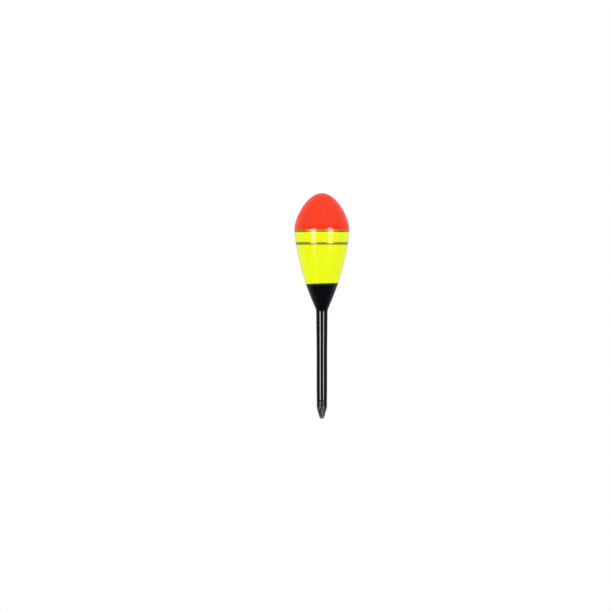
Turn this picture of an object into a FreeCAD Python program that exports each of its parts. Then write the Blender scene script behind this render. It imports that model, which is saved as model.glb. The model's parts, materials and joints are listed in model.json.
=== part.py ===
"""Stick bobber float: a balsa egg on a hollow stem, dipped and lined in coloured lacquer.

Millimetres, +Z up. The origin is the rounded tip of the foot and Z is the float's own axis,
so every height below is measured up from the tip. Every piece is a body of revolution.
"""
import FreeCAD, Part
import math
import os

# ---- Driving dimensions -------------------------------------------------------------------
# Body
body_diameter = 24.4
body_length = 52.8            # neck to the top of the crown
crown_height = 15.8           # widest circle to the top of the crown
skirt_angle = 24.3            # lean of the skirt off the axis, in degrees
neck_fillet_radius = 5.0      # where the lacquer runs from the stem out on to the skirt

# Fullness of the body's curves: each handle of a curve as a share of the span it bends over
crown_top_fullness = 0.57
crown_side_fullness = 0.28
barrel_side_fullness = 0.07
skirt_fullness = 0.57

# Stem
neck_height = 47.2            # tip of the foot to where the neck fillet starts
tube_diameter = 4.3
tube_wall = 0.8
socket_depth = 36.0           # how far the tube goes up inside the body
glue_gap = 0.1                # all round the tube, and over its closed end

# Lacquer on the stem: thin at the foot, even along the grip, thickest where it meets the body
foot_lacquer = 0.14
grip_lacquer = 0.22
neck_lacquer = 0.4
foot_to_grip = 5.8            # end of the lacquer up to the straight grip for the line sleeves
grip_to_neck = 17.2           # top of the grip up to the neck

# Foot
cone_length = 5.0             # tip to the edge between the cone and the collar
collar_length = 3.2
tip_radius = 1.15
shoulder_radius = 0.6         # rounding of the edge between the cone and the collar
shank_length = 8.0            # the part of the foot that is pushed up the tube
shank_lead_in = 0.35
shank_clearance = 0.03        # radial, between the shank and the tube

# Coats and lines
undercoat_thickness = 0.15
colour_thickness = 0.25       # colour and clear lacquer together
line_thickness = 0.06         # how far a gold line stands off the colour
upper_line_width = 1.25
lower_line_width = 1.2
upper_line_drop = 0.95        # widest circle down to the middle of the upper line
lower_line_drop = 6.55        # widest circle down to the middle of the lower line
dip_edge_rise = 12.85         # neck up to the edge of the black dip

# ---- Worked out from the dimensions above -------------------------------------------------
top_height = neck_height + body_length
equator_height = top_height - crown_height
upper_line_height = equator_height - upper_line_drop
lower_line_height = equator_height - lower_line_drop
dip_edge_height = neck_height + dip_edge_rise
skirt_lean = math.radians(skirt_angle)
foot_length = cone_length + collar_length
tube_radius = tube_diameter / 2
tube_bore_radius = tube_radius - tube_wall
foot_radius = tube_radius + foot_lacquer
grip_radius = tube_radius + grip_lacquer
neck_radius = tube_radius + neck_lacquer


# ---- Outlines, drawn in the XZ plane to the right of the axis ------------------------------
def at(radius, height):
    """The point of an outline at this radius and height."""
    return FreeCAD.Vector(radius, 0, height)


def straight(*points):
    """Straight edges through the points, in order."""
    return [Part.makeLine(a, b) for a, b in zip(points, points[1:])]


def curve(start, start_handle, end_handle, end):
    """One smooth edge from start to end, bent towards its two handles."""
    bezier = Part.BezierCurve()
    bezier.setPoles([start, start_handle, end_handle, end])
    return bezier.toShape()


def turn(centre, radius, first_angle, last_angle):
    """An arc of a circle, with its angles in radians up from the outward direction."""
    angles = (first_angle, (first_angle + last_angle) / 2, last_angle)
    points = [centre + at(radius * math.cos(a), radius * math.sin(a)) for a in angles]
    return Part.Arc(*points).toShape()


def revolved(edges):
    """The solid of revolution of a closed outline."""
    face = Part.Face(Part.Wire(edges))
    return face.revolve(at(0, 0), FreeCAD.Vector(0, 0, 1), 360)


def cylinder(radius, low, high):
    return Part.makeCylinder(radius, high - low, at(0, low))


def band(shape, low, high):
    """The part of a shape between two heights."""
    return shape.common(cylinder(body_diameter, low, high))


# ---- The body's surface -------------------------------------------------------------------
def skirt_foot(inset):
    """Where the skirt meets the neck fillet, on the surface this far inside the lacquer."""
    outward = 1 - math.cos(skirt_lean)
    upward = math.sin(skirt_lean)
    radius = neck_radius + neck_fillet_radius * outward - inset * math.cos(skirt_lean)
    height = neck_height + neck_fillet_radius * upward + inset * math.sin(skirt_lean)
    return at(radius, height)


def body_side(inset):
    """The edges from the foot of the skirt up over the widest circle to the top of the crown."""
    foot = skirt_foot(inset)
    equator = at(body_diameter / 2 - inset, equator_height)
    top = at(0, top_height - inset)
    barrel = equator.z - foot.z
    crown = top.z - equator.z
    up_the_skirt = at(math.sin(skirt_lean), math.cos(skirt_lean))
    skirt_handle = foot + up_the_skirt * (skirt_fullness * barrel)
    barrel_handle = equator - at(0, barrel_side_fullness * barrel)
    crown_handle = equator + at(0, crown_side_fullness * crown)
    top_handle = at(crown_top_fullness * equator.x, top.z)
    return [
        curve(foot, skirt_handle, barrel_handle, equator),
        curve(equator, crown_handle, top_handle, top),
    ]


def egg(inset):
    """The body alone, this far inside the lacquer, closed flat under its skirt."""
    foot = skirt_foot(inset)
    under_skirt = at(0, foot.z)
    top = at(0, top_height - inset)
    return revolved(straight(top, under_skirt, foot) + body_side(inset))


def lacquered_float():
    """Everything above the foot plug: the stem, the neck and the body, in one envelope."""
    foot_seat = at(0, foot_length)
    sleeve = straight(
        foot_seat,
        at(foot_radius, foot_length),
        at(grip_radius, foot_length + foot_to_grip),
        at(grip_radius, neck_height - grip_to_neck),
        at(neck_radius, neck_height),
    )
    fillet_centre = at(neck_radius + neck_fillet_radius, neck_height)
    fillet = turn(fillet_centre, neck_fillet_radius, math.pi, math.pi - skirt_lean)
    top = at(0, top_height)
    return revolved(sleeve + [fillet] + body_side(0) + straight(top, foot_seat))


# ---- Pieces -------------------------------------------------------------------------------
core_inset = colour_thickness + undercoat_thickness
core_underside = skirt_foot(core_inset).z
socket_top = core_underside + socket_depth
tube_top = socket_top - glue_gap


def stem_socket():
    """The blind hole up the middle of the body."""
    return cylinder(tube_radius + glue_gap, core_underside, socket_top)


def body_core():
    return egg(core_inset).cut(stem_socket())


def primed_body():
    """The body under its colour, cut flat where the bare wood of its underside is."""
    return band(egg(colour_thickness), core_underside, top_height)


def undercoat():
    return primed_body().cut(egg(core_inset)).cut(stem_socket())


def colour_coat(low, high):
    """One colour's share of the lacquer, between two heights of the body."""
    return band(lacquered_float(), low, high).cut(primed_body())


def crown_coat():
    return colour_coat(upper_line_height, top_height)


def yellow_coat():
    return colour_coat(dip_edge_height, upper_line_height)


def black_dip():
    """The black lacquer, from its edge on the skirt down the stem to the foot."""
    stem = cylinder(tube_radius, foot_length, core_underside)
    glue_ring = cylinder(tube_radius + glue_gap, core_underside, dip_edge_height)
    return colour_coat(foot_length, dip_edge_height).cut(stem).cut(glue_ring)


def gold_line(middle, width):
    """A painted line that stands a little off the colour under it."""
    low = middle - width / 2
    high = middle + width / 2
    return band(egg(-line_thickness), low, high).cut(egg(0))


def upper_gold_line():
    return gold_line(upper_line_height, upper_line_width)


def lower_gold_line():
    return gold_line(lower_line_height, lower_line_width)


def stem_tube():
    outside = cylinder(tube_radius, foot_length, tube_top)
    return outside.cut(cylinder(tube_bore_radius, foot_length, tube_top))


def glue_line():
    """The glue between the tube and its socket, closed over the tube's upper end."""
    return stem_socket().cut(cylinder(tube_radius, core_underside, tube_top))


def foot_plug():
    """The foot: a rounded tip, a cone, a rounded shoulder, a collar and the shank in the tube."""
    tip_centre = at(0, tip_radius)
    to_shoulder = at(foot_radius, cone_length) - tip_centre
    half_reach = math.acos(tip_radius / to_shoulder.Length)
    cone_normal = math.atan2(to_shoulder.z, to_shoulder.x) - half_reach
    off_the_cone = at(math.cos(cone_normal), math.sin(cone_normal))
    tangent_rise = shoulder_radius * math.tan(-cone_normal / 2)
    shoulder_centre = at(foot_radius - shoulder_radius, cone_length + tangent_rise)
    shank_radius = tube_bore_radius - shank_clearance
    shank_top = foot_length + shank_length
    tip = turn(tip_centre, tip_radius, -math.pi / 2, cone_normal)
    cone = straight(
        tip_centre + off_the_cone * tip_radius,
        shoulder_centre + off_the_cone * shoulder_radius,
    )
    shoulder = turn(shoulder_centre, shoulder_radius, cone_normal, 0)
    collar_and_shank = straight(
        shoulder_centre + at(shoulder_radius, 0),
        at(foot_radius, foot_length),
        at(shank_radius, foot_length),
        at(shank_radius, shank_top - shank_lead_in),
        at(shank_radius - shank_lead_in, shank_top),
        at(0, shank_top),
        at(0, 0),
    )
    return revolved([tip] + cone + [shoulder] + collar_and_shank)


pieces = (
    body_core,
    undercoat,
    crown_coat,
    yellow_coat,
    upper_gold_line,
    lower_gold_line,
    black_dip,
    stem_tube,
    glue_line,
    foot_plug,
)

os.makedirs("parts", exist_ok=True)
for piece in pieces:
    solid = piece()
    solid.exportStep("parts/" + piece.__name__ + ".step")
    print(piece.__name__, len(solid.Solids), "solid,", round(solid.Volume, 2), "cubic mm")
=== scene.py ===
import json
import math

import bpy
import numpy as np
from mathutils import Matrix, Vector, noise


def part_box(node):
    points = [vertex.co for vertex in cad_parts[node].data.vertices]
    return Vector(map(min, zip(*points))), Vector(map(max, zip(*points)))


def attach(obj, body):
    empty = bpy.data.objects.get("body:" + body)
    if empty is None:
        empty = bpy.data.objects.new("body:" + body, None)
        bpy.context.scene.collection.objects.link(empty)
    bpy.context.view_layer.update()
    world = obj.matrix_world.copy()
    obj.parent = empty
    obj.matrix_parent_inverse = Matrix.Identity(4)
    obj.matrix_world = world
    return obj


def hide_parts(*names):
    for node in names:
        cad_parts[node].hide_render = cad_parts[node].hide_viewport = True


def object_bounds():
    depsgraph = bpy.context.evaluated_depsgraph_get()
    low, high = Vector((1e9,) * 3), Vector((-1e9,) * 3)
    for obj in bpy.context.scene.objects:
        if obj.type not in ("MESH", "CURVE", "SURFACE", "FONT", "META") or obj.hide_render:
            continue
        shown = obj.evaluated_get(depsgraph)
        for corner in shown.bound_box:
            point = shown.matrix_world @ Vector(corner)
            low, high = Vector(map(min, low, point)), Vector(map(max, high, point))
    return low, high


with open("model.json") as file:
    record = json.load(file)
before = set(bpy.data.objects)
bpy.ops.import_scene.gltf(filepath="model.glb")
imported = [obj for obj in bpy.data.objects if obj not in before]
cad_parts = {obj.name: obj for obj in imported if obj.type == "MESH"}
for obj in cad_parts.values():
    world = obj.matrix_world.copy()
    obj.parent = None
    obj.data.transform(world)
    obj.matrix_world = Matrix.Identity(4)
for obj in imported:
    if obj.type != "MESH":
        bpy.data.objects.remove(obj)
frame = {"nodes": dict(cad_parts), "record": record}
cad_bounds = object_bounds()

MM = 0.001

# ---- Sizes of the float, with heights from the tip of its foot -----------------------------
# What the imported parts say.
crown_low, crown_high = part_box("crown_coat")
dip_low, dip_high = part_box("black_dip")
foot_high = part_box("foot_plug")[1]
tube_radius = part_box("stem_tube")[1].x
core_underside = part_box("body_core")[0].z
line_grip = next(m for m in frame["record"]["mounts"] if m["name"] == "line_grip")
grip_radius = line_grip["dims"]["r_mm"] * MM
grip_reach = line_grip["dims"]["length_mm"] * MM / 2
grip_middle = line_grip["pos_m"][2]
body_radius = crown_high.x
foot_radius = foot_high.x
foot_seat = dip_low.z         # where the foot's collar meets the end of the black

# How the outline runs between those sizes, as the body is turned and dipped.
JUNCTION_TO_EQUATOR = 0.95 * MM
NECK_TO_DIP_EDGE = 12.85 * MM
NECK_LACQUER = 0.4 * MM
NECK_FILLET = 5.0 * MM
SKIRT_LEAN = math.radians(24.3)
CROWN_TOP_FULLNESS = 0.57
CROWN_SIDE_FULLNESS = 0.28
BARREL_SIDE_FULLNESS = 0.07
SKIRT_FULLNESS = 0.57
COAT_DEPTH = 0.24 * MM
equator = crown_low.z + JUNCTION_TO_EQUATOR
neck = dip_high.z - NECK_TO_DIP_EDGE

# The foot, as it is moulded.
TIP_RADIUS = 1.15 * MM
CONE_LENGTH = 5.0 * MM
SHOULDER_ROUND = 0.6 * MM
SHANK_RADIUS = 1.32 * MM
SHANK_LEAD_IN = 0.35 * MM
JOINT_ROUND = 0.09 * MM       # softens the collar's upper edge and the lower end of the black
MOULD_SEAM_WIDTH = 0.10 * MM
MOULD_SEAM_DEPTH = 0.012 * MM
MOULD_SEAM_TURN = math.radians(62)

# The hand work in the finish.
TURNING_WAVE = 0.014 * MM     # the turned body dips up to this far under its true radius
TURNING_PITCH = 7.0 * MM
RUN_WAVE = 0.003 * MM         # runs and thick spots in the lacquer on the stem
RUN_PITCH = 2.6 * MM
RUN_BLEND = 2.0 * MM          # the runs die out over this height below the neck
LINE_RELIEF = 0.035 * MM
LINE_EDGE_SHARE = 0.3         # a gold line's edges are rounded over this share of its width
UPPER_LINE_BRUSH = 0.10 * MM  # how much the brush widened the upper line at the front and back
LINE_WANDER = 0.05 * MM
EDGE_WANDER = 0.07 * MM
WANDER_PITCH = 5.0 * MM
DIP_TILT = math.radians(1.9)  # the float went into the black a little askew
DIP_RELIEF = 0.04 * MM        # the black stands this far off the yellow
DIP_BUILD_UP = 4.0 * MM       # and thickens to it over this height
DIP_LAP = 0.9 * MM            # how far the thin edge of the black runs over the yellow
TUBE_GAP = 0.01 * MM          # between the stem tube and the inside of the black

# Each kind of unevenness reads its own part of the noise.
TURNING_SEED = 3.0
RUN_SEED = 11.0
DIP_EDGE_SEED = 23.0
UPPER_LINE_SEED = 31.0
LOWER_LINE_SEED = 47.0
UPPER_EDGE_STEP = 5.0         # from the seed of a line's lower edge to that of its upper edge

# How fine the meshes are.
SEGMENTS = 256
RING_STEP = 0.25 * MM
INNER_STEP = 4                # the hidden inner skins use every fourth ring
CURVE_POINTS = 1200
FILLET_POINTS = 60
LINE_RINGS = 11
LAP_RINGS = 16
END_RINGS = 5
INSIDE_RINGS = 12
TIP_RINGS = 24
CONE_RINGS = 18
SHOULDER_RINGS = 12
COLLAR_RINGS = 14
COLLAR_TOP_RINGS = 6
SHARP_EDGE = math.radians(35)


# ---- The outline --------------------------------------------------------------------------
def bezier(start, start_handle, end_handle, end):
    """Closely spaced points of one smooth curve, as rows of radius and height."""
    t = np.linspace(0, 1, CURVE_POINTS)[:, None]
    return (
        (1 - t) ** 3 * np.array(start)
        + 3 * (1 - t) ** 2 * t * np.array(start_handle)
        + 3 * (1 - t) * t**2 * np.array(end_handle)
        + t**3 * np.array(end)
    )


def arc(centre, radius, first_angle, last_angle, steps):
    """Points of an arc, with its angles in radians up from the outward direction."""
    angles = np.linspace(first_angle, last_angle, steps)
    return np.column_stack([
        centre[0] + radius * np.cos(angles),
        centre[1] + radius * np.sin(angles),
    ])


def lacquered_outline():
    """The outline over the lacquer, from the foot's seat to the top of the crown."""
    fillet_centre = (tube_radius + NECK_LACQUER + NECK_FILLET, neck)
    fillet = arc(fillet_centre, NECK_FILLET, math.pi, math.pi - SKIRT_LEAN, FILLET_POINTS)
    skirt = fillet[-1]
    barrel_length = equator - skirt[1]
    crown_length = crown_high.z - equator
    up_the_skirt = np.array([math.sin(SKIRT_LEAN), math.cos(SKIRT_LEAN)])
    barrel = bezier(
        skirt,
        skirt + up_the_skirt * SKIRT_FULLNESS * barrel_length,
        (body_radius, equator - BARREL_SIDE_FULLNESS * barrel_length),
        (body_radius, equator),
    )
    crown = bezier(
        (body_radius, equator),
        (body_radius, equator + CROWN_SIDE_FULLNESS * crown_length),
        (CROWN_TOP_FULLNESS * body_radius, crown_high.z),
        (0, crown_high.z),
    )
    stem = np.array([
        (foot_radius, foot_seat),
        (grip_radius, grip_middle - grip_reach),
        (grip_radius, grip_middle + grip_reach),
    ])
    return np.vstack([stem, fillet, barrel[1:], crown[1:]])


outline = lacquered_outline()


def radius_at(height):
    """The radius over the lacquer at a height, or at an array of heights."""
    return np.interp(height, outline[:, 1], outline[:, 0])


# ---- Turning rings into meshes ------------------------------------------------------------
turn_angles = np.linspace(0, 2 * math.pi, SEGMENTS, endpoint=False)


def wave(radius, height, pitch, seed):
    """Smooth unevenness from -1 to 1 all round one ring; height may differ round the ring."""
    heights = np.broadcast_to(height, turn_angles.shape)
    radii = np.broadcast_to(radius, turn_angles.shape)
    return np.array([
        noise.noise(Vector((r * math.cos(a) / pitch, r * math.sin(a) / pitch, h / pitch + seed)))
        for a, r, h in zip(turn_angles, radii, heights)
    ])


def finished_radius(height):
    """The lacquer's own radius round one ring, with the small faults of turning and dipping.

    The height may be one number, or may differ round the ring.
    """
    radius = radius_at(height)
    turned = TURNING_WAVE * (wave(radius, height, TURNING_PITCH, TURNING_SEED) - 1) / 2
    on_stem = np.clip((neck - height) / RUN_BLEND, 0, 1)
    runs = RUN_WAVE * wave(radius, height, RUN_PITCH, RUN_SEED) * on_stem
    return radius + turned + runs


def even_shares(low, high):
    """Shares from 0 to 1 for the rings of a skin between two heights, a ring step apart."""
    rings = max(2, math.ceil((high - low) / RING_STEP))
    return np.linspace(0, 1, rings + 1)


def ring(radius, height):
    """One ring of vertices; the radius and the height may both differ round the ring."""
    return np.column_stack([
        radius * np.cos(turn_angles),
        radius * np.sin(turn_angles),
        np.broadcast_to(height, turn_angles.shape),
    ])


def turned_mesh(name, rings, bottom_pole=None, top_pole=None):
    """A closed mesh from rings in order. With no poles, the last ring joins the first."""
    points = [tuple(point) for one in rings for point in one]
    faces = []
    pairs = list(zip(range(len(rings) - 1), range(1, len(rings))))
    if bottom_pole is None:
        pairs.append((len(rings) - 1, 0))
    for a, b in pairs:
        for k in range(SEGMENTS):
            following = (k + 1) % SEGMENTS
            corners = (a, k), (a, following), (b, following), (b, k)
            faces.append([row * SEGMENTS + column for row, column in corners])
    for pole, row in ((bottom_pole, 0), (top_pole, len(rings) - 1)):
        if pole is None:
            continue
        points.append((0, 0, pole))
        for k in range(SEGMENTS):
            edge = [row * SEGMENTS + k, row * SEGMENTS + (k + 1) % SEGMENTS]
            faces.append([len(points) - 1] + (edge[::-1] if row == 0 else edge))
    mesh = bpy.data.meshes.new(name)
    mesh.from_pydata(points, [], faces)
    mesh.validate()
    mesh.polygons.foreach_set("use_smooth", [True] * len(mesh.polygons))
    mesh.set_sharp_from_angle(angle=SHARP_EDGE)
    piece = bpy.data.objects.new(name, mesh)
    bpy.context.scene.collection.objects.link(piece)
    return piece


def finish_piece(piece, node, material):
    """Gives the piece its finish and puts it in its CAD node's place."""
    piece.data.materials.append(material)
    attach(piece, "root")
    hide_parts(node)


# ---- Painted edges ------------------------------------------------------------------------
def wander(height, size, seed):
    """How far a hand-painted edge strays from its height, round the float."""
    return size * wave(radius_at(height), height, WANDER_PITCH, seed)


def line_edges(node, brush, seed):
    """The lower and upper edge of a gold line, as heights round the float."""
    low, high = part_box(node)
    lower = low.z + wander(low.z, LINE_WANDER, seed)
    upper = high.z + wander(high.z, LINE_WANDER, seed + UPPER_EDGE_STEP)
    return lower, upper + brush * np.sin(turn_angles) ** 2


def dip_edge():
    """The upper edge of the black, as heights round the float."""
    height = dip_high.z
    tilt = math.tan(DIP_TILT) * radius_at(height) * np.cos(turn_angles)
    return height + tilt + wander(height, EDGE_WANDER, DIP_EDGE_SEED)


# ---- Pieces -------------------------------------------------------------------------------
def crown_piece():
    """The red lacquer: a cap with the thickness of the coat."""
    span = crown_high.z - crown_low.z
    climb = np.sin(even_shares(0, span) * math.pi / 2)[:-1]
    heights = crown_low.z + span * climb
    outer = [ring(finished_radius(h), h) for h in heights]
    inner_top = crown_high.z - COAT_DEPTH
    inner_heights = crown_low.z + (inner_top - crown_low.z) * climb[::INNER_STEP]
    inner = [ring(radius_at(h) - COAT_DEPTH, h) for h in inner_heights]
    sunk_at_top = (finished_radius(heights[-1]) - radius_at(heights[-1])).mean()
    pole = crown_high.z + sunk_at_top
    return turned_mesh("crown_coat_red", inner[::-1] + outer, inner_top, pole)


def yellow_piece():
    """The yellow lacquer, a sleeve that runs on under the thin edge of the black."""
    low = dip_high.z - DIP_LAP
    heights = low + (crown_low.z - low) * even_shares(low, crown_low.z)
    outer = [ring(finished_radius(h), h) for h in heights]
    inner = [ring(radius_at(h) - COAT_DEPTH, h) for h in heights[::INNER_STEP]]
    inner.append(ring(radius_at(heights[-1]) - COAT_DEPTH, heights[-1]))
    return turned_mesh("yellow_coat_fluorescent", outer + inner[::-1])


def bead(share):
    """The section of a painted line: it rises over its rounded edges and is flat between them."""
    rise = np.clip(share / LINE_EDGE_SHARE, 0, 1) ** 0.5
    fall = np.clip((1 - share) / LINE_EDGE_SHARE, 0, 1) ** 0.5
    return rise * fall


def gold_line_piece(node, brush, seed):
    """A painted line: a thin raised bead with slightly uneven edges."""
    lower, upper = line_edges(node, brush, seed)
    outer = []
    for share in np.linspace(0, 1, LINE_RINGS):
        heights = lower + (upper - lower) * share
        outer.append(ring(finished_radius(heights) + LINE_RELIEF * bead(share), heights))
    buried = [ring(finished_radius(edge) - LINE_RELIEF, edge) for edge in (upper, lower)]
    return turned_mesh(node + "_painted", outer + buried)


def black_end():
    """The rings that round off the lower end of the black, from the inside out."""
    rings = []
    for turn in np.linspace(math.pi / 2, 0, END_RINGS):
        height = foot_seat + JOINT_ROUND * (1 - math.sin(turn))
        drawn_in = JOINT_ROUND * (1 - math.cos(turn))
        rings.append(ring(finished_radius(height) - drawn_in, height))
    return rings


def black_inside(lap_start):
    """The rings down the inside of the black, from under its edge to the foot."""
    rings = [ring(radius_at(lap_start) - COAT_DEPTH / 2, lap_start)]
    for height in np.linspace(lap_start - MM, core_underside, INSIDE_RINGS):
        rings.append(ring(radius_at(height) - COAT_DEPTH, height))
    for height in (core_underside, foot_seat):
        rings.append(ring(tube_radius + TUBE_GAP, height))
    return rings


def black_piece():
    """The black lacquer, from a soft end at the foot up to its thin tilted edge."""
    edge = dip_edge()
    lap_start = dip_high.z - DIP_LAP
    rings = black_end()
    first = foot_seat + JOINT_ROUND
    for share in even_shares(first, lap_start)[1:]:
        height = first + (lap_start - first) * share
        built_up = np.clip((height - (lap_start - DIP_BUILD_UP)) / DIP_BUILD_UP, 0, 1)
        rings.append(ring(finished_radius(height) + DIP_RELIEF * built_up, height))
    for share in np.linspace(0, 1, LAP_RINGS)[1:]:
        heights = lap_start + (edge - lap_start) * share
        thinned = math.sqrt(max(0.0, 1 - share**4))
        rings.append(ring(finished_radius(heights) + DIP_RELIEF * thinned, heights))
    rings.append(ring(finished_radius(edge) - DIP_RELIEF, edge))
    return turned_mesh("black_dip_lacquer", rings + black_inside(lap_start))


def foot_outline():
    """The foot's rounded tip, cone, shoulder, collar and shank, as rows of radius and height."""
    tip_centre = np.array([0, TIP_RADIUS])
    to_shoulder = np.array([foot_radius, CONE_LENGTH]) - tip_centre
    half_reach = math.acos(TIP_RADIUS / np.linalg.norm(to_shoulder))
    cone_normal = math.atan2(to_shoulder[1], to_shoulder[0]) - half_reach
    tangent_rise = SHOULDER_ROUND * math.tan(-cone_normal / 2)
    shoulder_centre = (foot_radius - SHOULDER_ROUND, CONE_LENGTH + tangent_rise)
    tip = arc(tip_centre, TIP_RADIUS, -math.pi / 2, cone_normal, TIP_RINGS)[1:]
    shoulder = arc(shoulder_centre, SHOULDER_ROUND, cone_normal, 0, SHOULDER_RINGS)
    cone = np.linspace(tip[-1], shoulder[0], CONE_RINGS)[1:-1]
    collar_centre = (foot_radius - JOINT_ROUND, foot_seat - JOINT_ROUND)
    collar_top = arc(collar_centre, JOINT_ROUND, 0, math.pi / 2, COLLAR_TOP_RINGS)
    collar = np.linspace(shoulder[-1], collar_top[0], COLLAR_RINGS)[1:-1]
    shank = np.array([
        (SHANK_RADIUS, foot_seat),
        (SHANK_RADIUS, foot_high.z - SHANK_LEAD_IN),
        (SHANK_RADIUS - SHANK_LEAD_IN, foot_high.z),
    ])
    return np.vstack([tip, cone, shoulder, collar, collar_top, shank])


def mould_seam(radius):
    """The two fine lines that the halves of the mould leave down the sides of the foot."""
    off_line = np.abs(np.sin(turn_angles - MOULD_SEAM_TURN)) * radius
    return -MOULD_SEAM_DEPTH * (1 - np.exp(-((off_line / MOULD_SEAM_WIDTH) ** 2)))


def foot_piece():
    """The moulded foot, with its mould lines on the part that shows."""
    rings = []
    for radius, height in foot_outline():
        shows = height < foot_seat - JOINT_ROUND
        rings.append(ring(radius + (mould_seam(radius) if shows else 0.0), height))
    return turned_mesh("foot_plug_satin", rings, 0.0, foot_high.z)


# ---- Materials ----------------------------------------------------------------------------
SPRAYED = {
    "pebble_size": 0.9 * MM,
    "pebble_depth": 0.0025 * MM,
    "coat_roughness": 0.09,
    "coat_ior": 1.5,
}
DIPPED = {
    "pebble_size": 1.4 * MM,
    "pebble_depth": 0.0003 * MM,
    "coat_roughness": 0.04,
    "coat_ior": 1.42,
}
RED_THIN_EDGE = 6.0 * MM      # the red thickens over this height above the junction
BLACK_THIN_EDGE = 1.4 * MM
LINE_FULL_SHARE = 0.15        # a gold line covers fully up to this share of its width
RUBBED_TIP = 0.3 * MM         # the foot is rubbed bare up to here
RUBBED_END = 1.8 * MM         # and not at all from here
COLLAR_SHADE_START = 4.9 * MM        # painted shade darkens the collar from here
COLLAR_SHADE_FULL = 5.8 * MM


def paint(hex_colour):
    """An sRGB hex colour as the linear values that a shader takes."""
    parts = [int(hex_colour[i:i + 2], 16) / 255 for i in (1, 3, 5)]
    return [p / 12.92 if p <= 0.04045 else ((p + 0.055) / 1.055) ** 2.4 for p in parts] + [1.0]


def add(tree, kind, inputs=None, output=0, stops=(), **settings):
    """Adds a shader node with its settings and links, and returns one of its outputs.

    An input takes another node's output or a plain value. The stops are a colour ramp's, as
    pairs of place and hex colour.
    """
    node = tree.nodes.new("ShaderNode" + kind)
    for name, value in settings.items():
        setattr(node, name, value)
    for key, value in (inputs or {}).items():
        if isinstance(value, bpy.types.NodeSocket):
            tree.links.new(value, node.inputs[key])
        else:
            node.inputs[key].default_value = value
    if stops:
        elements = node.color_ramp.elements
        for _ in stops[2:]:
            elements.new(0.5)
        for element, (position, hex_colour) in zip(elements, stops):
            element.position = position
            element.color = paint(hex_colour)
    return node.outputs[output] if node.outputs else None


def new_material(name):
    """An empty material, its node tree, and the place on the float as a texture vector."""
    material = bpy.data.materials.new(name)
    material.use_nodes = True
    tree = material.node_tree
    tree.nodes.clear()
    return material, tree, add(tree, "TexCoord", output="Object")


def grain(tree, place, size, stretch=(1, 1, 1), detail=2.0):
    """A pattern whose grains are this size, drawn out by the stretch along X, Y and Z."""
    scale = [size * part for part in stretch]
    spot = add(tree, "Mapping", {"Vector": place, "Scale": scale}, vector_type="TEXTURE")
    inputs = {"Vector": spot, "Scale": 1.0, "Detail": detail, "Roughness": 0.5}
    return add(tree, "TexNoise", inputs)


def lacquer(tree, place, colour, pebble_size, pebble_depth, coat_roughness, coat_ior):
    """Colour under clear gloss lacquer, which dries with faint pebbling."""
    pebbles = grain(tree, place, pebble_size, detail=1.0)
    pebbled = add(tree, "Bump", {"Height": pebbles, "Distance": pebble_depth})
    return add(tree, "BsdfPrincipled", {
        "Base Color": colour,
        "Normal": pebbled,
        "Coat Normal": pebbled,
        "Roughness": 0.35,
        "Specular IOR Level": 0.0,
        "IOR": 1.5,
        "Coat Weight": 1.0,
        "Coat Roughness": coat_roughness,
        "Coat IOR": coat_ior,
    })


def red_lacquer():
    """Fluorescent red nitrocellulose, sprayed: warmer where it thins over the yellow."""
    material, tree, place = new_material("fluorescent_red_lacquer")
    height = add(tree, "SeparateXYZ", {"Vector": place}, "Z")
    thickening = {"Value": height, "From Min": crown_low.z, "From Max": crown_low.z + RED_THIN_EDGE}
    thickness = add(tree, "MapRange", thickening, interpolation_type="SMOOTHSTEP")
    reds = (0.0, "#FE360E"), (0.45, "#FE3F20"), (1.0, "#FE3E20")
    colour = add(tree, "ValToRGB", {"Fac": thickness}, stops=reds)
    cloud = grain(tree, place, 4 * MM)
    density = add(tree, "ValToRGB", {"Fac": cloud}, stops=((0.3, "#F6F6F6"), (0.7, "#FFFFFF")))
    sprayed = add(
        tree, "Mix", {0: 1.0, 6: colour, 7: density}, 2, data_type="RGBA", blend_type="MULTIPLY"
    )
    shader = lacquer(tree, place, sprayed, **SPRAYED)
    add(tree, "OutputMaterial", {"Surface": shader})
    return material


def yellow_lacquer():
    """Fluorescent yellow, sprayed on a spinning body over faint upright grain."""
    material, tree, place = new_material("fluorescent_yellow_lacquer")
    wood = grain(tree, place, 1.6 * MM, stretch=(1, 1, 14))
    yellows = (0.32, "#EBFA12"), (0.5, "#F1FD14"), (0.68, "#F3FF16")
    colour = add(tree, "ValToRGB", {"Fac": wood}, stops=yellows)
    passes = grain(tree, place, 0.35 * MM, stretch=(40, 40, 1))
    density = add(tree, "ValToRGB", {"Fac": passes}, stops=((0.3, "#FBFBF4"), (0.7, "#FFFFFF")))
    sprayed = add(
        tree, "Mix", {0: 1.0, 6: colour, 7: density}, 2, data_type="RGBA", blend_type="MULTIPLY"
    )
    shader = lacquer(tree, place, sprayed, **SPRAYED)
    add(tree, "OutputMaterial", {"Surface": shader})
    return material


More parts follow.
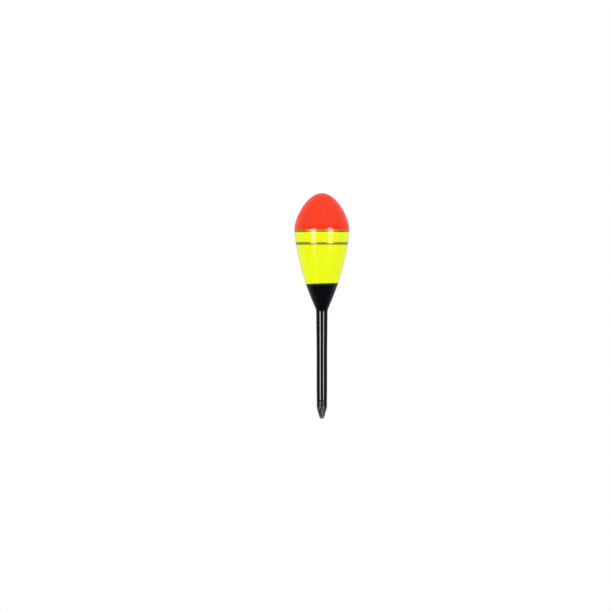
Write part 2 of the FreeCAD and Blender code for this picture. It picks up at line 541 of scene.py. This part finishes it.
def bronze_paint(node, beneath):
    """Bronze-powder gold, brushed on a spinning body: satin, with streaks round it and flakes.

    Its upper edge is thin, and the coat beneath tints it.
    """
    material, tree, place = new_material(node + "_bronze")
    low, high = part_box(node)
    streaks = grain(tree, place, 0.12 * MM, stretch=(30, 30, 1))
    golds = (0.3, "#AD9628"), (0.55, "#CEB332"), (0.75, "#E3CA44")
    brushed = add(tree, "ValToRGB", {"Fac": streaks}, stops=golds)
    flakes = grain(tree, place, 0.10 * MM)
    glint = add(tree, "ValToRGB", {"Fac": flakes}, stops=((0.45, "#D8D0B8"), (0.7, "#FFFFFF")))
    powder = add(
        tree, "Mix", {0: 1.0, 6: brushed, 7: glint}, 2, data_type="RGBA", blend_type="MULTIPLY"
    )
    height = add(tree, "SeparateXYZ", {"Vector": place}, "Z")
    full_to = low.z + LINE_FULL_SHARE * (high.z - low.z)
    thinning = {"Value": height, "From Min": full_to, "From Max": high.z}
    thin = add(tree, "MapRange", thinning, interpolation_type="SMOOTHSTEP")
    tint = add(tree, "Math", {0: thin, 1: 0.9}, operation="MULTIPLY")
    colour = add(tree, "Mix", {0: tint, 6: powder, 7: paint(beneath)}, 2, data_type="RGBA")
    shader = add(tree, "BsdfPrincipled", {
        "Base Color": colour,
        "Normal": add(tree, "Bump", {"Height": streaks, "Distance": 0.0015 * MM}),
        "Metallic": 0.55,
        "Roughness": 0.42,
        "Coat Weight": 0.7,
        "Coat Roughness": 0.09,
        "Coat IOR": 1.5,
    })
    add(tree, "OutputMaterial", {"Surface": shader})
    return material


def black_lacquer():
    """Black lacquer, dipped: deep gloss, green where its thin edge lets the yellow through."""
    material, tree, place = new_material("black_dip_lacquer")
    across_edge = (-math.tan(DIP_TILT), 0.0, 1.0)
    level = add(
        tree, "VectorMath", {0: place, 1: across_edge}, "Value", operation="DOT_PRODUCT"
    )
    thinning = {"Value": level, "From Min": dip_high.z - BLACK_THIN_EDGE, "From Max": dip_high.z}
    thin = add(tree, "MapRange", thinning, interpolation_type="SMOOTHSTEP")
    blacks = (0.0, "#08070E"), (0.35, "#0A160A"), (0.72, "#264200"), (1.0, "#4E7008")
    colour = add(tree, "ValToRGB", {"Fac": thin}, stops=blacks)
    shader = lacquer(tree, place, colour, **DIPPED)
    add(tree, "OutputMaterial", {"Surface": shader})
    return material


def satin_nylon():
    """Dark grey nylon, moulded: satin, with drawn streaks and a tip rubbed pale by use.

    Its collar is painted darker than the cone, as painted shade: the cone below, tilted down,
    catches more light.
    """
    material, tree, place = new_material("satin_grey_nylon")
    streaks = grain(tree, place, 0.55 * MM, stretch=(1, 1, 9))
    greys = (0.36, "#2C2932"), (0.50, "#403D45"), (0.64, "#6A6770")
    body = add(tree, "ValToRGB", {"Fac": streaks}, stops=greys)
    height = add(tree, "SeparateXYZ", {"Vector": place}, "Z")
    rubbing = {"Value": height, "From Min": RUBBED_END, "From Max": RUBBED_TIP}
    rubbed = add(tree, "MapRange", rubbing, interpolation_type="SMOOTHSTEP")
    worn = add(tree, "Mix", {0: rubbed, 6: body, 7: paint("#7C7172")}, 2, data_type="RGBA")
    # painted shade: the collar is darkened up towards the black, because the cone below catches more
    # light
    collar_shading = {"Value": height, "From Min": COLLAR_SHADE_START, "From Max": COLLAR_SHADE_FULL}
    collar_shade = add(tree, "MapRange", collar_shading, interpolation_type="SMOOTHSTEP")
    colour = add(tree, "Mix", {0: collar_shade, 6: worn, 7: paint("#141317")}, 2, data_type="RGBA")
    fine = grain(tree, place, 0.12 * MM, stretch=(1, 1, 2), detail=3.0)
    shader = add(tree, "BsdfPrincipled", {
        "Base Color": colour,
        "Normal": add(tree, "Bump", {"Height": fine, "Distance": 0.005 * MM}),
        "Roughness": 0.26,
        "Specular IOR Level": 0.25,
        "IOR": 1.53,
    })
    add(tree, "OutputMaterial", {"Surface": shader})
    return material


def balsa():
    """Sanded balsa: pale and matt, with long upright grain and fine pores."""
    material, tree, place = new_material("balsa")
    wood = grain(tree, place, 0.8 * MM, stretch=(1, 1, 25), detail=4.0)
    pores = grain(tree, place, 0.18 * MM, stretch=(1, 1, 12))
    browns = (0.3, "#C79F6B"), (0.5, "#DDBE8E"), (0.7, "#EBD5AD")
    shader = add(tree, "BsdfPrincipled", {
        "Base Color": add(tree, "ValToRGB", {"Fac": wood}, stops=browns),
        "Normal": add(tree, "Bump", {"Height": pores, "Distance": 0.02 * MM}),
        "Roughness": 0.8,
        "IOR": 1.53,
    })
    add(tree, "OutputMaterial", {"Surface": shader})
    return material


def white_undercoat():
    """White sanding sealer, brushed and rubbed flat: chalky, with fine scratches round it."""
    material, tree, place = new_material("white_sanding_sealer")
    scratches = grain(tree, place, 0.15 * MM, stretch=(20, 20, 1), detail=3.0)
    whites = (0.3, "#E4E3DE"), (0.7, "#F4F4F1")
    shader = add(tree, "BsdfPrincipled", {
        "Base Color": add(tree, "ValToRGB", {"Fac": scratches}, stops=whites),
        "Normal": add(tree, "Bump", {"Height": scratches, "Distance": 0.005 * MM}),
        "Roughness": 0.75,
        "IOR": 1.5,
    })
    add(tree, "OutputMaterial", {"Surface": shader})
    return material


def black_tube():
    """Extruded black polystyrene: a dull sheen with fine lines along the tube."""
    material, tree, place = new_material("extruded_black_polystyrene")
    die_lines = grain(tree, place, 0.12 * MM, stretch=(1, 1, 60))
    shader = add(tree, "BsdfPrincipled", {
        "Base Color": add(
            tree, "ValToRGB", {"Fac": die_lines}, stops=((0.3, "#161618"), (0.7, "#232326"))
        ),
        "Normal": add(tree, "Bump", {"Height": die_lines, "Distance": 0.003 * MM}),
        "Roughness": 0.45,
        "IOR": 1.59,
    })
    add(tree, "OutputMaterial", {"Surface": shader})
    return material


def epoxy_glue():
    """Set epoxy: amber, clear and a little cloudy with trapped bubbles."""
    material, tree, place = new_material("set_epoxy")
    bubbles = grain(tree, place, 0.5 * MM, detail=3.0)
    ambers = (0.35, "#C9A45A"), (0.65, "#E2C98C")
    shader = add(tree, "BsdfPrincipled", {
        "Base Color": add(tree, "ValToRGB", {"Fac": bubbles}, stops=ambers),
        "Normal": add(tree, "Bump", {"Height": bubbles, "Distance": 0.01 * MM}),
        "Roughness": 0.2,
        "IOR": 1.55,
        "Transmission Weight": 0.5,
    })
    add(tree, "OutputMaterial", {"Surface": shader})
    return material


# ---- Putting the float together -----------------------------------------------------------
finish_piece(crown_piece(), "crown_coat", red_lacquer())
finish_piece(yellow_piece(), "yellow_coat", yellow_lacquer())
gold_lines = (
    ("upper_gold_line", UPPER_LINE_BRUSH, UPPER_LINE_SEED, "#FF8444"),
    ("lower_gold_line", 0.0, LOWER_LINE_SEED, "#C6BC2C"),
)
for node, brush, seed, beneath in gold_lines:
    line = gold_line_piece(node, brush, seed)
    finish_piece(line, node, bronze_paint(node, beneath))
finish_piece(black_piece(), "black_dip", black_lacquer())
finish_piece(foot_piece(), "foot_plug", satin_nylon())

# The pieces inside keep their shapes and take their finishes.
inside = {
    "body_core": ("balsa", balsa()),
    "undercoat": ("white_undercoat", white_undercoat()),
    "stem_tube": ("black_tube", black_tube()),
    "glue_line": ("clear_glue", epoxy_glue()),
}
for node, (slot, material) in inside.items():
    part = frame["nodes"][node]
    part.data.materials.clear()
    part.data.materials.append(material)

# ---- Studio -------------------------------------------------------------------------------
middle = (cad_bounds[0] + cad_bounds[1]) / 2
FLOOR_SIZE = 6.0
FLOOR_DROP = 0.27             # the float is held this far above the floor
FILL = 0.97                   # white light from all round
VIEW_WIDTH = 0.271            # width of the picture at the float
FLOAT_TO_RIGHT = 0.00703      # the float stands this far right of the picture's middle
CAMERA_DISTANCE = 2.4
SENSOR = 36.0
TENT_RADIUS = 3.0
SOFTBOX_DISTANCE = 1.8
SOFTBOX_WIDTH = 0.98
SOFTBOX_FOOT = -1.15          # height of the softboxes' lower edge
SOFTBOX_FADE = 0.25           # they fade out over this height at the top
HALF_CLOTH = 0.5              # a softbox's plane is one unit across before it is scaled
LIT_CLOTH = 0.05              # its glow falls off from here to its sides
KEY_PLACE = Vector((-0.25, -0.9, 0.9))
KEY_SIZE = 0.9
KEY_POWER = 1.6


def seen_directly(tree):
    """1 for a ray that looks straight at a surface or sees it mirrored, 0 for the light it gives."""
    total = 0.0
    for kind in ("Is Camera Ray", "Is Glossy Ray", "Is Transmission Ray"):
        ray = add(tree, "LightPath", output=kind)
        total = add(tree, "Math", {0: total, 1: ray}, operation="ADD")
    return total


def studio_world():
    """Even white light from all round, and a white ground behind everything."""
    world = bpy.data.worlds.new("studio")
    bpy.context.scene.world = world
    world.use_nodes = True
    tree = world.node_tree
    tree.nodes.clear()
    fill, ground = (
        add(tree, "Background", {"Color": paint("#FFFFFF"), "Strength": strength})
        for strength in (FILL, 1.0)
    )
    light = add(tree, "MixShader", {0: seen_directly(tree), 1: fill, 2: ground})
    add(tree, "OutputWorld", {"Surface": light})


def studio_floor():
    """A white floor well below the float; from beneath, it can be seen through."""
    height = cad_bounds[0].z - FLOOR_DROP
    bpy.ops.mesh.primitive_plane_add(size=FLOOR_SIZE, location=(0, 0, height))
    floor = bpy.context.object
    floor.name = "studio_floor"
    material, tree, _ = new_material("white_studio_floor")
    facing_down = add(tree, "NewGeometry", output="Backfacing")
    white = add(tree, "BsdfDiffuse", {"Color": paint("#FFFFFF")})
    clear = add(tree, "BsdfTransparent")
    card = add(tree, "MixShader", {0: facing_down, 1: white, 2: clear})
    add(tree, "OutputMaterial", {"Surface": card})
    floor.data.materials.append(material)
    floor.visible_glossy = False


def only_in_reflections(cloth):
    """Hides a cloth from everything but the reflections in the lacquer."""
    cloth.visible_camera = False
    cloth.visible_diffuse = False
    cloth.visible_transmission = False
    cloth.visible_shadow = False


def grey_tent():
    """The cloth tent round the studio: dark by the camera, pale behind and overhead."""
    bpy.ops.mesh.primitive_uv_sphere_add(
        segments=48, ring_count=24, radius=TENT_RADIUS, location=middle
    )
    tent = bpy.context.object
    tent.name = "grey_tent"
    bpy.ops.object.shade_smooth()
    material, tree, place = new_material("grey_tent_cloth")
    front_to_back = {
        "Value": add(tree, "SeparateXYZ", {"Vector": place}, "Y"),
        "From Min": -TENT_RADIUS,
        "From Max": TENT_RADIUS,
    }
    backward = add(tree, "MapRange", front_to_back, interpolation_type="SMOOTHSTEP")
    wall_greys = (0.0, "#3A3A3C"), (0.15, "#404042"), (0.5, "#707072"), (1.0, "#C4C4C6")
    walls = add(tree, "ValToRGB", {"Fac": backward}, stops=wall_greys)
    middle_to_top = {
        "Value": add(tree, "SeparateXYZ", {"Vector": place}, "Z"),
        "From Min": 0.0,
        "From Max": TENT_RADIUS,
    }
    upward = add(tree, "MapRange", middle_to_top, interpolation_type="SMOOTHSTEP")
    roof = add(tree, "ValToRGB", {"Fac": upward}, stops=((0.0, "#000000"), (1.0, "#989A9C")))
    cloth = add(
        tree, "Mix", {0: 1.0, 6: walls, 7: roof}, 2, data_type="RGBA", blend_type="LIGHTEN"
    )
    glow = add(tree, "Emission", {"Color": cloth, "Strength": 1.0})
    add(tree, "OutputMaterial", {"Surface": glow})
    tent.data.materials.append(material)
    only_in_reflections(tent)


def softbox_cloth(name, top, radiance):
    """A softbox's lit front: soft at its sides and top, and fading out downwards."""
    material, tree, place = new_material(name + "_cloth")
    across = add(tree, "SeparateXYZ", {"Vector": place}, "X")
    off_centre = add(tree, "Math", {0: across}, operation="ABSOLUTE")
    sides = {"Value": off_centre, "From Min": HALF_CLOTH, "From Max": LIT_CLOTH}
    lit = add(tree, "MapRange", sides, interpolation_type="SMOOTHSTEP")
    strength = add(tree, "Math", {0: lit, 1: radiance}, operation="MULTIPLY")
    height = add(tree, "MapRange", {
        "Value": add(tree, "SeparateXYZ", {"Vector": place}, "Y"),
        "From Min": -HALF_CLOTH,
        "From Max": HALF_CLOTH,
        "To Min": SOFTBOX_FOOT,
        "To Max": top,
    })
    up_from_foot = {"Value": height, "From Min": SOFTBOX_FOOT, "From Max": 0.0}
    lower = add(tree, "ValToRGB", {"Fac": add(tree, "MapRange", up_from_foot)}, stops=(
        (0.0, "#000000"),
        (0.12, "#2A2A2A"),
        (0.50, "#363636"),
        (0.58, "#5E5E5E"),
        (0.69, "#6A6A6A"),
        (0.76, "#A4A4A4"),
        (0.89, "#E7E7E7"),
        (0.96, "#FFFFFF"),
    ))
    fading = {"Value": height, "From Min": top, "From Max": top - SOFTBOX_FADE}
    upper = add(tree, "MapRange", fading, interpolation_type="SMOOTHSTEP")
    colour = add(tree, "Mix", {0: upper, 6: paint("#000000"), 7: lower}, 2, data_type="RGBA")
    glow = add(tree, "Emission", {"Color": colour, "Strength": strength})
    add(tree, "OutputMaterial", {"Surface": glow})
    return material


def softbox(name, azimuth, top, radiance):
    """An upright softbox beside the camera, at an azimuth in degrees to the camera's right."""
    angle = math.radians(azimuth)
    outward = Vector((math.sin(angle), -math.cos(angle), 0))
    bpy.ops.mesh.primitive_plane_add(size=2 * HALF_CLOTH)
    box = bpy.context.object
    box.name = name
    box.location = outward * SOFTBOX_DISTANCE + Vector((0, 0, (top + SOFTBOX_FOOT) / 2))
    box.rotation_euler = outward.to_track_quat("Z", "Y").to_euler()
    box.scale = (SOFTBOX_WIDTH, top - SOFTBOX_FOOT, 1)
    box.data.materials.append(softbox_cloth(name, top, radiance))
    only_in_reflections(box)


def soft_key():
    """A broad soft light from above the camera, for the float's form and its shadow."""
    data = bpy.data.lights.new("soft_key", "AREA")
    data.shape = "SQUARE"
    data.size = KEY_SIZE
    data.energy = KEY_POWER
    lamp = bpy.data.objects.new("soft_key", data)
    bpy.context.scene.collection.objects.link(lamp)
    lamp.location = KEY_PLACE
    lamp.rotation_euler = (KEY_PLACE - middle).to_track_quat("Z", "Y").to_euler()
    lamp.visible_camera = False
    lamp.visible_glossy = False


def camera():
    """Level with the middle of the float, from far enough away to flatten it."""
    data = bpy.data.cameras.new("camera")
    data.sensor_width = SENSOR
    data.lens = SENSOR * CAMERA_DISTANCE / VIEW_WIDTH
    data.clip_start = 0.05
    data.clip_end = 20
    view = bpy.data.objects.new("camera", data)
    bpy.context.scene.collection.objects.link(view)
    view.location = (-FLOAT_TO_RIGHT, -CAMERA_DISTANCE, middle.z)
    view.rotation_euler = (math.radians(90), 0, 0)
    bpy.context.scene.camera = view


studio_world()
studio_floor()
grey_tent()
softbox("left_softbox", azimuth=-36.3, top=0.215, radiance=21.0)
softbox("right_softbox", azimuth=36.0, top=0.365, radiance=15.5)
soft_key()
camera()
bpy.context.scene.view_settings.view_transform = "Standard"
